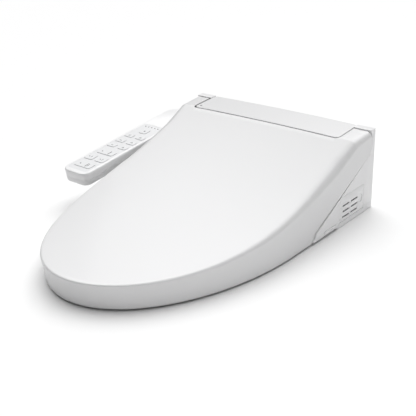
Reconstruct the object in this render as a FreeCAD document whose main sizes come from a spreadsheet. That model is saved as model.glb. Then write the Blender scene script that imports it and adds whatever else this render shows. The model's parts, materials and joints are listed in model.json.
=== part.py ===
import FreeCAD, Part
import math
import os
import re

import Sketcher
from FreeCAD import Placement, Rotation, Vector

# An electric bidet seat. Millimetres, +Z up. The origin is midway between the two fixing bolts at the
# level of the underside. The seat's nose points along -Y and the control arm is on the -X side.

SIZES = {
    # Plan: a half ellipse in front of arcY, then straight sides.
    "halfWidth": 190, "noseReach": 301, "arcY": -170, "rearY": 60, "footInset": 5, "capZ": 150,
    "noseDraft": 13.75, "sideDraft": 1.25,
    # Lid, from the side: a power curve rises from the nose to kneeY, level behind it.
    "noseTopZ": 42.5, "kneeTopZ": 140, "kneeY": -3, "noseY": -471, "levelRise": 4.6,
    "noseCrown": 1.5, "midCrown": 5, "rearCrown": 2.6, "lidWall": 2.8, "lidFootZ": 2.5, "lidRearY": -6,
    # Hinge line, shared by seat and lid, and the slanting edge under the cheeks.
    "hingeY": 22, "hingeZ": 122, "cheekRadius": 29, "pocketRadius": 30.5, "shaftRadius": 5,
    "runClear": 0.06, "slantLowY": -113, "slantLowZ": 18, "slantHighY": 30, "slantHighZ": 93.7,
    "slantFootY": -122, "centreHalf": 155, "cheekInner": 157, "knuckleInner": 173, "knuckleOuter": 187.5,
    # Seat ring.
    "seatGap": 6, "seatFootZ": 13, "seatNoseZ": 33, "seatRearZ": 80, "seatNoseY": -465, "seatRearY": -97,
    "seatWall": 3.2, "holeY": -262, "holeFront": 130, "holeRear": 110, "holeHalf": 108,
    "heelY": -131, "heelZ": 19.8, "heelRearZ": 33.6,
    "seatArmInner": 158.5, "seatArmOuter": 171.5, "seatEyeRadius": 11, "bumperX": 60, "bumperY": -418,
    # Case.
    "caseHalf": 188, "caseWall": 2.6, "seamZ": 12, "stripY": 45.5, "stripZ": 142.5, "keelY": -52,
    "keelZ": 4, "caseFrontY": -94, "slantGap": 1.8, "panelDrop": 0.6, "panelThick": 3,
    "plateHalf": 95, "plateFrontY": -45, "plateRearY": 33, "plateThick": 5,
    "boltSpacing": 140, "boltSlotLength": 30, "boltSlotRadius": 4.25,
    # Nozzle: built along its own line, which climbs rearwards at nozzleTilt.
    "nozzleY": -112, "nozzleZ": 12, "nozzleTilt": 30, "wandRadius": 8, "wandLength": 168, "tipLength": 16,
    "rackHalf": 3.5, "rackFootZ": 4.2, "pinionAlong": 60, "toothModule": 1, "pinionTeeth": 16,
    "pinionShaft": 2.5, "guideHalf": 11.5,
    # Control arm: built level, then tilted by armTilt about its front top edge.
    "armInner": -198, "armOuter": -262, "armFrontY": -247, "armFrontZ": 70.5, "armTilt": 6.447,
    "armLength": 299, "armDepth": 24, "armSplit": 13, "armWall": 2.2, "keyTravel": 0.8, "keyStand": 0.7,
    # Water inlet, a half-inch pipe thread.
    "inletRadius": 10.48,
    # Side cassette and its fan.
    "cassetteFrontY": -45, "cassetteRearY": 31, "cassetteFootZ": 9, "cassetteTopZ": 53, "slotLength": 21,
    "fanY": -8, "fanZ": 40, "fanRadius": 26,
}

doc = FreeCAD.newDocument("bidet_seat")
sheet = doc.addObject("Spreadsheet::Sheet", "dims")
for row, (alias, value) in enumerate(SIZES.items(), start=1):
    sheet.set(f"A{row}", alias)
    sheet.set(f"B{row}", str(value))
    sheet.setAlias(f"B{row}", alias)
doc.recompute()

WORD = re.compile(r"[A-Za-z]\w*")
SUBPARTS = []


def size(alias):
    """A size as a number, read from the sheet."""
    return float(sheet.get(alias))


def bind(obj, prop, text):
    """Bind a property to an expression of the sheet's sizes."""
    words = WORD.sub(lambda m: "dims." + m.group() if m.group() in SIZES else m.group(), str(text))
    obj.setExpression(prop, words)


def at(obj, base):
    for axis, text in zip("xyz", base):
        bind(obj, f"Placement.Base.{axis}", text)
    return obj


def box(name, low, high):
    """A block between two corners."""
    block = doc.addObject("Part::Box", name)
    for prop, near, far in zip(("Length", "Width", "Height"), low, high):
        bind(block, prop, f"({far}) - ({near})")
    return at(block, low)


def placed_box(name, low, high, frame):
    """A block between two corners of another frame."""
    block = doc.addObject("Part::Box", name)
    for prop, near, far in zip(("Length", "Width", "Height"), low, high):
        bind(block, prop, f"({far}) - ({near})")
    corner = Vector(*[evaluate(text) for text in low])
    block.Placement = frame.multiply(Placement(corner, Rotation()))
    return block


TURNS = {"X": Rotation(Vector(0, 1, 0), 90), "Y": Rotation(Vector(1, 0, 0), -90), "Z": Rotation()}


def rod(name, axis, radius, base, length):
    """A cylinder from base along +axis."""
    cylinder = doc.addObject("Part::Cylinder", name)
    cylinder.Placement = Placement(Vector(), TURNS[axis])
    bind(cylinder, "Radius", radius)
    bind(cylinder, "Height", length)
    return at(cylinder, base)


def fuse(name, *shapes):
    group = doc.addObject("Part::MultiFuse", name)
    group.Shapes = list(shapes)
    return group


def cut(name, base, *tools):
    result = doc.addObject("Part::Cut", name)
    result.Base = base
    result.Tool = tools[0] if len(tools) == 1 else fuse(name + "_tools", *tools)
    return result


def common(name, first, second):
    result = doc.addObject("Part::Common", name)
    result.Base = first
    result.Tool = second
    return result


def round_edges(name, base, radius, keep):
    """Round the edges of base that keep() picks, all at one radius."""
    doc.recompute()
    rounded = doc.addObject("Part::Fillet", name)
    rounded.Base = base
    rounded.Edges = [(i, radius, radius) for i, edge in enumerate(base.Shape.Edges, start=1) if keep(edge)]
    return rounded


def upright(edge):
    """True for a straight edge along Z."""
    ends = edge.BoundBox
    return ends.XLength < 1e-6 and ends.YLength < 1e-6


def profile(name, plane, points, base, length):
    """A PartDesign body: a polygon on one of its origin planes, padded by length."""
    body = doc.addObject("PartDesign::Body", name)
    sketch = body.newObject("Sketcher::SketchObject", name + "_sketch")
    origin_plane = [f for f in body.Origin.OriginFeatures if f.Role == plane][0]
    sketch.AttachmentSupport = (origin_plane, "")
    sketch.MapMode = "FlatFace"
    doc.recompute()
    values = [(evaluate(across), evaluate(up)) for across, up in points]
    count = len(values)
    for i, start in enumerate(values):
        end = values[(i + 1) % count]
        sketch.addGeometry(Part.LineSegment(Vector(*start, 0), Vector(*end, 0)))
    for i in range(count):
        sketch.addConstraint(Sketcher.Constraint("Coincident", i, 2, (i + 1) % count, 1))
    for i, (across, up) in enumerate(points):
        for kind, text, value in (("DistanceX", across, values[i][0]), ("DistanceY", up, values[i][1])):
            index = sketch.addConstraint(Sketcher.Constraint(kind, -1, 1, i, 1, value))
            sketch.renameConstraint(index, f"{kind}{i}")
            bind(sketch, f"Constraints.{kind}{i}", text)
    pad = body.newObject("PartDesign::Pad", name + "_pad")
    pad.Profile = sketch
    bind(pad, "Length", length)
    body.Tip = pad
    return at(body, base)


def evaluate(text):
    """An expression of the sheet's sizes as a number."""
    return float(sheet.evalExpression(str(text)))


def part(name, shape, placement=None):
    """Name a finished sub-part, moved into its own frame if it has one. Its label is its file's name."""
    if placement is not None:
        moved = doc.addObject("Part::Compound", name + "_placed")
        moved.Links = [shape]
        moved.Placement = placement
        shape = moved
    shape.Label = name
    SUBPARTS.append(shape)
    return shape


# ---- Shapes that the lid, the seat and the case share ------------------------------------------------

def outline(name, inset, z, rear):
    """The plan outline at one height, drawn in from the lid's skin by inset."""
    height = z / size("capZ")
    foot = size("footInset")
    half = size("halfWidth") - foot + (foot + size("sideDraft")) * height - inset
    reach = size("noseReach") - foot + (foot + size("noseDraft")) * height - inset
    arc_y = size("arcY")
    ellipse = Part.Ellipse(Vector(0, arc_y - reach, z), Vector(half, arc_y, z), Vector(0, arc_y, z))
    quarters = [ellipse.toShape(-math.pi / 2, 0), ellipse.toShape(0, math.pi / 2)]
    corners = [Vector(half, arc_y, z), Vector(half, rear, z), Vector(-half, rear, z), Vector(-half, arc_y, z)]
    sides = [Part.makeLine(a, b) for a, b in zip(corners, corners[1:])]
    wire = doc.addObject("Part::Feature", name)
    wire.Shape = Part.Wire(quarters + sides)
    return wire


def skirted(name, inset, foot_z, rear):
    """A drafted block inside the plan outline, up to capZ."""
    block = doc.addObject("Part::Loft", name)
    block.Sections = [outline(name + "_foot", inset, foot_z, rear),
                      outline(name + "_head", inset, size("capZ"), rear)]
    block.Solid = True
    block.Ruled = True
    return block


def arch(name, y, top_z, crown):
    """A section across the width: a shallow arc on top, straight sides far below it."""
    half = size("halfWidth") + 20
    edge_z = top_z - crown * (half / size("halfWidth")) ** 2
    low_z = -20
    top = Part.Arc(Vector(-half, y, edge_z), Vector(0, y, top_z), Vector(half, y, edge_z)).toShape()
    corners = [Vector(x, y, z) for x, z in ((half, edge_z), (half, low_z), (-half, low_z), (-half, edge_z))]
    sides = [Part.makeLine(a, b) for a, b in zip(corners, corners[1:])]
    wire = doc.addObject("Part::Feature", name)
    wire.Shape = Part.Wire([top] + sides)
    return wire


def lid_top(y):
    """The height of the lid's skin on the centre line, and its crown there."""
    along = min(max((y - size("noseY")) / (size("kneeY") - size("noseY")), 0), 1)
    rise = size("kneeTopZ") - size("noseTopZ")
    level = size("levelRise") * max(y - size("kneeY"), 0) / (size("rearY") - size("kneeY"))
    fullest = size("midCrown") - size("noseCrown")
    flatter = size("midCrown") - size("rearCrown")
    crown = size("noseCrown") + fullest * min(along * 2, 1) - flatter * max(along - 0.7, 0) / 0.3
    return size("noseTopZ") + rise * along ** 2.2 + level, crown


def under_lid(name, drop):
    """Everything below the lid's skin lowered by drop, from the nose to the rear."""
    stations = [-500, -471, -420, -340, -250, -150, -60, size("kneeY")]
    slope = doc.addObject("Part::Loft", name + "_slope")
    slope.Sections = [arch(f"{name}_arch{i}", y, lid_top(y)[0] - drop, lid_top(y)[1])
                      for i, y in enumerate(stations)]
    slope.Solid = True
    level = doc.addObject("Part::Loft", name + "_level")
    level.Sections = [arch(f"{name}_level{i}", y, lid_top(y)[0] - drop, lid_top(y)[1])
                      for i, y in enumerate((size("kneeY"), 90))]
    level.Solid = True
    level.Ruled = True
    return fuse(name, slope, level)


def seat_top(y):
    """The height of the seat's top on the centre line."""
    along = max((y - size("seatNoseY")) / (size("seatRearY") - size("seatNoseY")), 0)
    return size("seatNoseZ") + (size("seatRearZ") - size("seatNoseZ")) * along ** 1.9


def under_seat(name, drop):
    """Everything below the seat's top lowered by drop."""
    body = doc.addObject("Part::Loft", name)
    stations = (-490, -465, -400, -300, -200, -130, -80)
    body.Sections = [arch(f"{name}_arch{i}", y, seat_top(y) - drop, 2) for i, y in enumerate(stations)]
    body.Solid = True
    return body


def opening(name, grow):
    """The seat's hole, grown by grow: two half ellipses that meet at its widest."""
    centre = Vector(0, size("holeY"), -30)
    across = Vector(size("holeHalf") + grow, 0, 0)
    front = Part.Ellipse(centre - Vector(0, size("holeFront") + grow, 0), centre + across, centre)
    rear = Part.Ellipse(centre + Vector(0, size("holeRear") + grow, 0), centre - across, centre)
    halves = [ellipse.toShape(-math.pi / 2, math.pi / 2) for ellipse in (front, rear)]
    hole = doc.addObject("Part::Feature", name)
    hole.Shape = Part.Face(Part.Wire(halves)).extrude(Vector(0, 0, 200))
    return hole


def slant(offset, y):
    """The height of the cheeks' slanting edge at y, raised by offset."""
    climb = "(slantHighZ - slantLowZ) / (slantHighY - slantLowY)"
    return f"slantLowZ + ({offset}) + ({climb}) * (({y}) - slantLowY)"


def both_sides(name, make):
    """The same piece on the +X and the -X side. make(name, side) draws one of them."""
    return [make(name + "_left", -1), make(name + "_right", 1)]


def side_rod(name, radius, inner, outer, side):
    """A rod on the hinge line between two distances from the middle."""
    start = inner if side > 0 else f"-({outer})"
    return rod(name, "X", radius, (start, "hingeY", "hingeZ"), f"({outer}) - ({inner})")


# ---- Lid ---------------------------------------------------------------------------------------------

def crease(base, front_radius, side_radius, rear_radius):
    """Round the edge between the top and the skirt, more towards the rear."""
    doc.recompute()
    rounded = doc.addObject("Part::Fillet", base.Name + "_round")
    rounded.Base = base
    half = size("halfWidth")
    arc_y = size("arcY")

    def edge_half(y):
        """How wide the plan is at y."""
        forward = min((y - arc_y) / size("noseReach"), 0)
        return half * math.sqrt(max(1 - forward ** 2, 0))

    def radius_at(y):
        if y < arc_y - 150:
            return front_radius
        return side_radius if y < arc_y + 20 else rear_radius

    picked = []
    for i, edge in enumerate(base.Shape.Edges, start=1):
        points = edge.discretize(9)
        middle = points[4]
        below_top = middle.z < 30
        behind = middle.y > 70
        inside = abs(abs(middle.x) - edge_half(middle.y)) > 12
        steep = edge.BoundBox.ZLength > 0.6 * edge.BoundBox.YLength
        if not (below_top or behind or inside or steep):
            picked.append((i, radius_at(points[0].y), radius_at(points[-1].y)))
    rounded.Edges = picked
    return rounded


def lid_cheek_side(name, low_z):
    """The lid's side view in front of the hinge line: all that lies above its lower edge."""
    return profile(name, "YZ_Plane",
                   [(-500, low_z), ("slantFootY", low_z), ("slantLowY", "slantLowZ"),
                    ("slantHighY", "slantHighZ"), ("slantHighY", 170), (-500, 170)],
                   ("-halfWidth - 20", 0, 0), "2 * halfWidth + 40")


def make_lid():
    wall = size("lidWall")
    mass = common("lid_mass", skirted("lid_block", 0, 0, 80), under_lid("lid_cap", 0))
    core = common("lid_core", skirted("lid_inner_block", wall, -5, 80), under_lid("lid_inner_cap", wall))
    outer = crease(mass, 3, 8, 15)
    inner = crease(core, 2, 6, 12)
    side = fuse("lid_side", lid_cheek_side("lid_side_view", "lidFootZ"),
                rod("lid_cheek_disc", "X", "cheekRadius", ("-halfWidth - 20", "hingeY", "hingeZ"),
                    "2 * halfWidth + 40"))
    rear_gap = round_edges("lid_gap_corners",
                           box("lid_rear_gap", ("-cheekInner", "lidRearY", -10), ("cheekInner", 90, 170)),
                           8, lambda e: upright(e) and e.BoundBox.YMax < 0)
    shell = cut("lid_shell", common("lid_outside", outer, side), inner, rear_gap)
    knuckles = both_sides("lid_knuckle", lambda n, s: side_rod(n, 12, "knuckleInner", "knuckleOuter", s))
    bores = both_sides("lid_bore", lambda n, s: side_rod(n, "shaftRadius + runClear", "knuckleInner - 5",
                                                         "knuckleOuter - 0.5", s))
    part("lid", cut("lid_part", fuse("lid_whole", shell, *knuckles), *bores))


def make_lid_bumpers():
    """Soft buttons on the lid's underside, just clear of the seat."""
    posts = fuse("lid_bumper_posts", *[rod(f"lid_bumper_post{i}", "Z", 6, (x, y, 10), 120)
                                       for i, (x, y) in enumerate(((145, -190), (-145, -190), (70, -405),
                                                                   (-70, -405)))])
    pads = common("lid_bumper_tops", posts, under_lid("lid_bumper_cap", size("lidWall") + 0.02))
    part("lid_bumpers", cut("lid_bumpers_part", pads, under_seat("lid_bumper_floor", -0.6)))


# ---- Seat --------------------------------------------------------------------------------------------

def seat_foot(name, rise):
    """The seat's side view: all above its underside, which climbs over the case at the rear."""
    return profile(name, "YZ_Plane",
                   [(-500, f"seatFootZ + {rise}"), ("heelY", f"seatFootZ + {rise}"),
                    ("heelY + 11", f"heelZ + {rise}"), ("seatRearY + 1", f"heelRearZ + {rise}"),
                    ("seatRearY + 1", 130), (-500, 130)],
                   ("-halfWidth", 0, 0), "2 * halfWidth")


def seat_arm(name, side):
    """A hinge arm: a bar from the ring up to an eye on the hinge line."""
    inner = "seatArmInner" if side > 0 else "-seatArmOuter"
    bar = profile(name + "_bar", "YZ_Plane",
                  [(-112, 42), ("seatRearY", 42), ("hingeY + 4", "hingeZ - seatEyeRadius"),
                   ("hingeY - 5", "hingeZ + seatEyeRadius - 1"), ("seatRearY - 3", 79), (-112, 72)],
                  (inner, 0, 0), "seatArmOuter - seatArmInner")
    return fuse(name, bar, side_rod(name + "_eye", "seatEyeRadius", "seatArmInner", "seatArmOuter", side))


def make_seat():
    wall = size("seatWall")
    gap = size("seatGap")
    rear = size("seatRearY")
    mass = common("seat_mass", skirted("seat_block", gap, 0, rear), under_seat("seat_cap", 0))
    ring = cut("seat_ring", mass, opening("seat_hole", 0))
    top_edges = round_edges("seat_soft", ring, 6, lambda e: e.BoundBox.ZMin > 25 and e.BoundBox.YLength > 60
                            and e.BoundBox.ZLength < 0.7 * e.BoundBox.YLength)
    core = cut("seat_core", common("seat_core_mass", skirted("seat_core_block", gap + wall, -5, rear - wall),
                                   under_seat("seat_core_cap", wall)),
               opening("seat_core_hole", wall))
    shell = cut("seat_shell", common("seat_outside", top_edges, seat_foot("seat_side_view", 0)), core)
    arms = both_sides("seat_arm", seat_arm)
    bores = both_sides("seat_bore", lambda n, s: side_rod(n, "shaftRadius + runClear", "seatArmInner - 2",
                                                          "seatArmOuter + 2", s))
    part("seat_upper_shell", cut("seat_upper", fuse("seat_whole", shell, *arms), *bores))

    inset = gap + wall + 0.3
    band = cut("seat_floor_ring", skirted("seat_floor_block", inset, 0, rear - wall - 0.3),
               opening("seat_floor_hole", wall + 0.3))
    floor = cut("seat_floor", seat_foot("seat_floor_low", 0), seat_foot("seat_floor_high", 2.6))
    part("seat_lower_shell", common("seat_lower", band, floor))

    sheet_ring = cut("heater_ring", skirted("heater_block", inset + 6, 0, rear - wall - 14),
                     opening("heater_hole", wall + 6))
    film = cut("heater_film", under_seat("heater_top", wall + 0.1), under_seat("heater_foot", wall + 0.9))
    part("seat_heater", common("seat_heater_part", sheet_ring, film))

    pads = []
    for i, (x, y) in enumerate((("bumperX", "bumperY"), ("-bumperX", "bumperY"), (145, -190), (-145, -190))):
        block = box(f"seat_bumper{i}", (f"{x} - 14", f"{y} - 7", 0), (f"{x} + 14", f"{y} + 7", "seatFootZ"))
        pads.append(round_edges(f"seat_bumper_round{i}", block, 5, upright))
    part("seat_bumpers", fuse("seat_bumpers_part", *pads))


# ---- Case --------------------------------------------------------------------------------------------

def wedge_view(name, inset):
    """The case's low full-width body in side view, with the raised strip behind the cheeks."""
    step = f"slantGap + {inset} * 1.15"
    return profile(name, "YZ_Plane",
                   [(f"slantFootY + 1 + {inset}", f"keelZ + {inset}"),
                    (f"slantLowY + 1 + {inset} * 0.5", f"({slant('0', 'slantLowY + 1')}) - ({step})"),
                    (f"stripY + {inset}", f"({slant('0', 'stripY')}) - ({step})"),
                    (f"stripY + {inset}", f"stripZ - {inset}"), (f"rearY - {inset}", f"stripZ - {inset}"),
                    (f"rearY - {inset}", inset), (f"keelY + {inset}", inset),
                    (f"keelY + {inset}", f"keelZ + {inset}")],
                   (f"-caseHalf + {inset}", 0, 0), f"2 * (caseHalf - {inset})")


def centre_view(name, inset, top_z):
    """The tall middle of the case in side view, sloping under the lid in front of the panel."""
    return profile(name, "YZ_Plane",
                   [(f"caseFrontY + {inset}", 24), (f"caseFrontY + {inset}", f"80 - {inset}"),
                    (f"-88 + {inset}", f"90 - {inset}"), (f"-48 + {inset}", f"109 - {inset}"),
                    (f"kneeY - 4 + {inset}", f"128 - {inset}"), (f"kneeY + 1 + {inset}", f"133 - {inset}"),
                    (f"kneeY + 1 + {inset}", top_z), (f"rearY - {inset}", top_z), (f"rearY - {inset}", 24)],
                   (f"-centreHalf + {inset}", 0, 0), f"2 * (centreHalf - {inset})")


def panel_rest(name, drop):
    """Everything below the top panel's seat."""
    return under_lid(name, size("panelDrop") + size("panelThick") + drop)


def case_shape(name, inset):
    """The case's outside, or with an inset its inside."""
    middle = common(name + "_middle", centre_view(name + "_centre", inset, 150),
                    panel_rest(name + "_rest", 0.02 + inset))
    over_strip = box(name + "_over_strip", ("-centreHalf", 30, f"130 - {inset}"), ("centreHalf", 70, 160))
    wedge = cut(name + "_sides", wedge_view(name + "_wedge", inset), over_strip)
    return fuse(name, wedge, middle)


def make_case():
    wall = size("caseWall")
    outside = case_shape("case_outside", 0)
    pocket = both_sides("case_pocket", lambda n, s: side_rod(n, "pocketRadius", "centreHalf", "halfWidth", s))
    inside = case_shape("case_inside", wall)
    pocket_walls = both_sides("case_pocket_wall",
                              lambda n, s: side_rod(n, "pocketRadius + caseWall", "centreHalf - caseWall",
                                                    "halfWidth", s))
    hollow = cut("case_hollow", inside, *pocket_walls)
    shell = cut("case_shell", cut("case_body", outside, *pocket), hollow)
    plate_room = box("plate_room", ("-plateHalf - 1", "plateFrontY - 1", -1),
                     ("plateHalf + 1", "plateRearY + 1", "plateThick + 0.4"))
    plate_roof = box("plate_roof", ("-plateHalf - 3", "plateFrontY - 3", 0),
                     ("plateHalf + 3", "plateRearY + 3", "plateThick + 2.6"))
    nozzle_way = placed_box("nozzle_way", ("-guideHalf - 1.5", -30, -13), ("guideHalf + 1.5", 32, 12),
                            nozzle_line())
    shafts = both_sides("shaft_hole", lambda n, s: side_rod(n, "shaftRadius", 120, "centreHalf + 1", s))
    inlet_hole = rod("inlet_hole", "X", 11, ("-caseHalf - 2", 24, 28), 12)
    gland_hole = rod("gland_hole", "Y", 7, (150, "rearY - 6", 22), 12)
    drain_hole = rod("drain_hole", "X", 7, ("-caseHalf - 2", -24, 15), 12)
    button_hole = box("release_hole", ("caseHalf - 8", -91.4, 6.6), ("caseHalf + 2", -58.6, 11.4))
    cassette_hole = box("cassette_hole", ("caseHalf - 6", "cassetteFrontY", "cassetteFootZ"),
                        ("caseHalf + 2", "cassetteRearY", "cassetteTopZ"))
    link_hole = box("link_hole", ("-caseHalf - 2", -20, 48), ("-caseHalf + 6", 16, 60))
    whole = cut("case_open", fuse("case_floor", shell, plate_roof), plate_room, nozzle_way, *shafts,
                inlet_hole, gland_hole, drain_hole, button_hole, cassette_hole, link_hole)
    lower = box("case_lower_half", (-200, -140, -5), (200, 80, "seamZ"))
    upper = box("case_upper_half", (-200, -140, "seamZ"), (200, 80, 170))
    part("lower_case", common("lower_case_part", whole, lower))
    part("upper_case", common("upper_case_part", whole, upper))


def nozzle_line():
    """The nozzle's own frame: its +Y runs up and rearwards along the wand."""
    base = Vector(0, size("nozzleY"), size("nozzleZ"))
    return Placement(base, Rotation(Vector(1, 0, 0), size("nozzleTilt")))


def make_panel():
    """The flat cover over the works, with a lens in its front corner."""
    blank = box("panel_blank", ("-centreHalf + 0.3", "kneeY", 100), ("centreHalf - 0.3", "rearY - 1", 170))
    rounded = round_edges("panel_corners", blank, 8, upright)
    skin = cut("panel_skin", under_lid("panel_top", size("panelDrop")), panel_rest("panel_under", 0))
    lens_hole = rod("lens_hole", "Z", 2.2, ("-centreHalf + 9", "kneeY + 9", 120), 40)
    part("top_panel", cut("top_panel_part", common("panel_sheet", rounded, skin), lens_hole))
    lens = rod("lens_rod", "Z", 2.2, ("-centreHalf + 9", "kneeY + 9", 135.7), 20)
    part("status_lens", common("status_lens_part", lens, under_lid("lens_top", size("panelDrop") + 0.3)))


# ---- Hinge hardware ----------------------------------------------------------------------------------

def make_hinge():
    """Two soft-close dampers inside the case, each turning a shaft that both seat and lid ride on."""
    for name, side in (("seat_damper", 1), ("lid_damper", -1)):
        barrel = side_rod(name + "_barrel", 8.2, "centreHalf - 50", "centreHalf - 7", side)
        collar = side_rod(name + "_collar", 7, "centreHalf - 7", "centreHalf - caseWall - 0.2", side)
        bore = side_rod(name + "_bore", "shaftRadius", "centreHalf - 20", "centreHalf", side)
        part(name, cut(name + "_part", fuse(name + "_body", barrel, collar), bore))
    shafts = both_sides("hinge_shaft", lambda n, s: side_rod(n, "shaftRadius", "centreHalf - 20",
                                                             "knuckleOuter - 1", s))
    part("hinge_shafts", fuse("hinge_shafts_part", *shafts))


# ---- Mounting plate ----------------------------------------------------------------------------------

def make_plate():
    """The plate bolted to the bowl: two slots, a raised rail each side and a sprung latch tongue."""
    sheet_plate = box("plate_sheet", ("-plateHalf", "plateFrontY", 0),
                      ("plateHalf", "plateRearY", "plateThick"))
    blank = round_edges("plate_corners", sheet_plate, 6, upright)
    slots = []
    for name, x in (("slot_left", "-boltSpacing / 2"), ("slot_right", "boltSpacing / 2")):
        straight = "boltSlotLength / 2 - boltSlotRadius"
        slots.append(box(name + "_middle", (f"{x} - ({straight})", "-boltSlotRadius", -1),
                         (f"{x} + {straight}", "boltSlotRadius", "plateThick + 1")))
        for end, sign in (("_a", "-"), ("_b", "+")):
            slots.append(rod(name + end, "Z", "boltSlotRadius", (f"{x} {sign} ({straight})", 0, -1),
                             "plateThick + 2"))
    tongue_gaps = [box(f"tongue_gap{i}", (x, "plateFrontY - 1", -1), (x + 2, -10, "plateThick + 1"))
                   for i, x in enumerate((-16, 14))]
    part("mounting_plate", cut("mounting_plate_part", blank, *slots, *tongue_gaps))


# ---- Nozzle ------------------------------------------------------------------------------------------

def involute_gear(name, teeth, module, backlash, bore, width):
    """A spur gear about X with a tooth gap at the bottom, its flanks thinned by half the backlash."""
    pitch = module * teeth / 2
    pressure = math.radians(20)
    base_radius = pitch * math.cos(pressure)
    tip = pitch + module
    root = pitch - 1.25 * module
    half_tooth = math.pi / (2 * teeth) - backlash / (2 * pitch)
    lean = math.tan(pressure) - pressure

    def flank_angle(radius):
        turn = math.acos(min(base_radius / radius, 1))
        return half_tooth + lean - (math.tan(turn) - turn)

    radii = [base_radius + (tip - base_radius) * i / 5 for i in range(6)]
    points = []
    for tooth in range(teeth):
        middle = -math.pi / 2 + (tooth + 0.5) * 2 * math.pi / teeth
        side = [(root, flank_angle(base_radius))] + [(r, flank_angle(r)) for r in radii]
        for radius, angle in side:
            points.append((radius, middle - angle))
        for radius, angle in reversed(side):
            points.append((radius, middle + angle))
    corners = [Vector(0, r * math.cos(a), r * math.sin(a)) for r, a in points]
    blank = Part.Face(Part.makePolygon(corners + corners[:1])).extrude(Vector(width, 0, 0))
    gear = doc.addObject("Part::Feature", name)
    gear.Shape = blank.cut(Part.makeCylinder(bore, width, Vector(), Vector(1, 0, 0)))
    return gear


def rack_bar(name):
    """A rack along +Y with its teeth up and one tooth centred where the pinion meets it."""
    module = size("toothModule")
    pitch = math.pi * module
    pitch_z = size("rackFootZ") + 4.5
    slope = math.tan(math.radians(20))
    start = size("pinionAlong") - 2 * pitch
    count = 37
    points = [(start - 2 * pitch / 4, size("rackFootZ")), (start - 2 * pitch / 4, pitch_z - 1.25 * module)]
    for tooth in range(count):
        middle = start + tooth * pitch
        for reach, height in ((-1, -1.25), (-1, 1), (1, 1), (1, -1.25)):
            half = pitch / 4 - 0.04 - height * module * slope
            points.append((middle + reach * half, pitch_z + height * module))
    end = start + (count - 0.5) * pitch
    points += [(end, pitch_z - 1.25 * module), (end, size("rackFootZ"))]
    width = 2 * size("rackHalf")
    corners = [Vector(-size("rackHalf"), y, z) for y, z in points]
    bar = doc.addObject("Part::Feature", name)
    bar.Shape = Part.Face(Part.makePolygon(corners + corners[:1])).extrude(Vector(width, 0, 0))
    return bar


def pinion_height():
    return size("rackFootZ") + 4.5 + size("toothModule") * size("pinionTeeth") / 2 + 0.05


def make_nozzle():
    line = nozzle_line()
    flat = box("wand_flat", ("-rackHalf", 40, "rackFootZ"), ("rackHalf", "wandLength + 1", 20))
    channel = rod("wand_channel", "Y", 2.5, (0, "tipLength - 1", 0), "wandLength - 10")
    wand = rod("wand_rod", "Y", "wandRadius", (0, "tipLength", 0), "wandLength - tipLength")
    part("nozzle_wand", cut("nozzle_wand_part", wand, flat, channel), line)
    nose = round_edges("tip_nose", rod("tip_rod", "Y", "wandRadius", (0, 0, 0), "tipLength"), 3,
                       lambda e: e.BoundBox.YMax < 1)
    jets = [rod(f"tip_jet{i}", "Z", 0.7, (x, y, 3), 10) for i, (x, y) in
            enumerate(((-2, 6), (2, 6), (0, 9.5), (-2, 12.5), (2, 12.5)))]
    part("nozzle_tip", cut("nozzle_tip_part", nose, *jets), line)
    part("nozzle_rack", rack_bar("nozzle_rack_bar"), line)

    height = pinion_height()
    along = size("pinionAlong")
    pinion = involute_gear("pinion_gear", int(size("pinionTeeth")), size("toothModule"), 0.12,
                           size("pinionShaft"), 2 * size("rackHalf") - 1)
    pinion.Placement.Base = Vector(-size("rackHalf") + 0.5, along, height)
    part("nozzle_pinion", pinion, line)
    part("pinion_shaft", rod("pinion_shaft_rod", "X", "pinionShaft", (-14, along, height), 30), line)
    motor = rod("motor_can", "X", 11, (16.5, along, height), 22)
    flange = box("motor_flange", (16.5, along - 11, height - 8), (18.5, along + 11, height + 8))
    part("nozzle_motor", fuse("nozzle_motor_part", motor, flange), line)

    trough = box("guide_block", ("-guideHalf", 12, "-wandRadius - 2.6"), ("guideHalf", 128, 3))
    groove = box("guide_groove", ("-wandRadius - 0.3", 0, "-wandRadius - 0.1"), ("wandRadius + 0.3", 140, 10))
    cheeks = [box(f"guide_cheek{i}", (x, along - 9, 2), (x + 2.6, along + 9, height + 7))
              for i, x in enumerate((-11.5, 8.9))]
    bearing = rod("guide_bearing", "X", "pinionShaft + runClear", (-20, along, height), 40)
    whole = fuse("guide_whole", trough, *cheeks)
    part("nozzle_guide", cut("nozzle_guide_part", whole, groove, bearing), line)


# ---- Water side --------------------------------------------------------------------------------------

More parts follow.
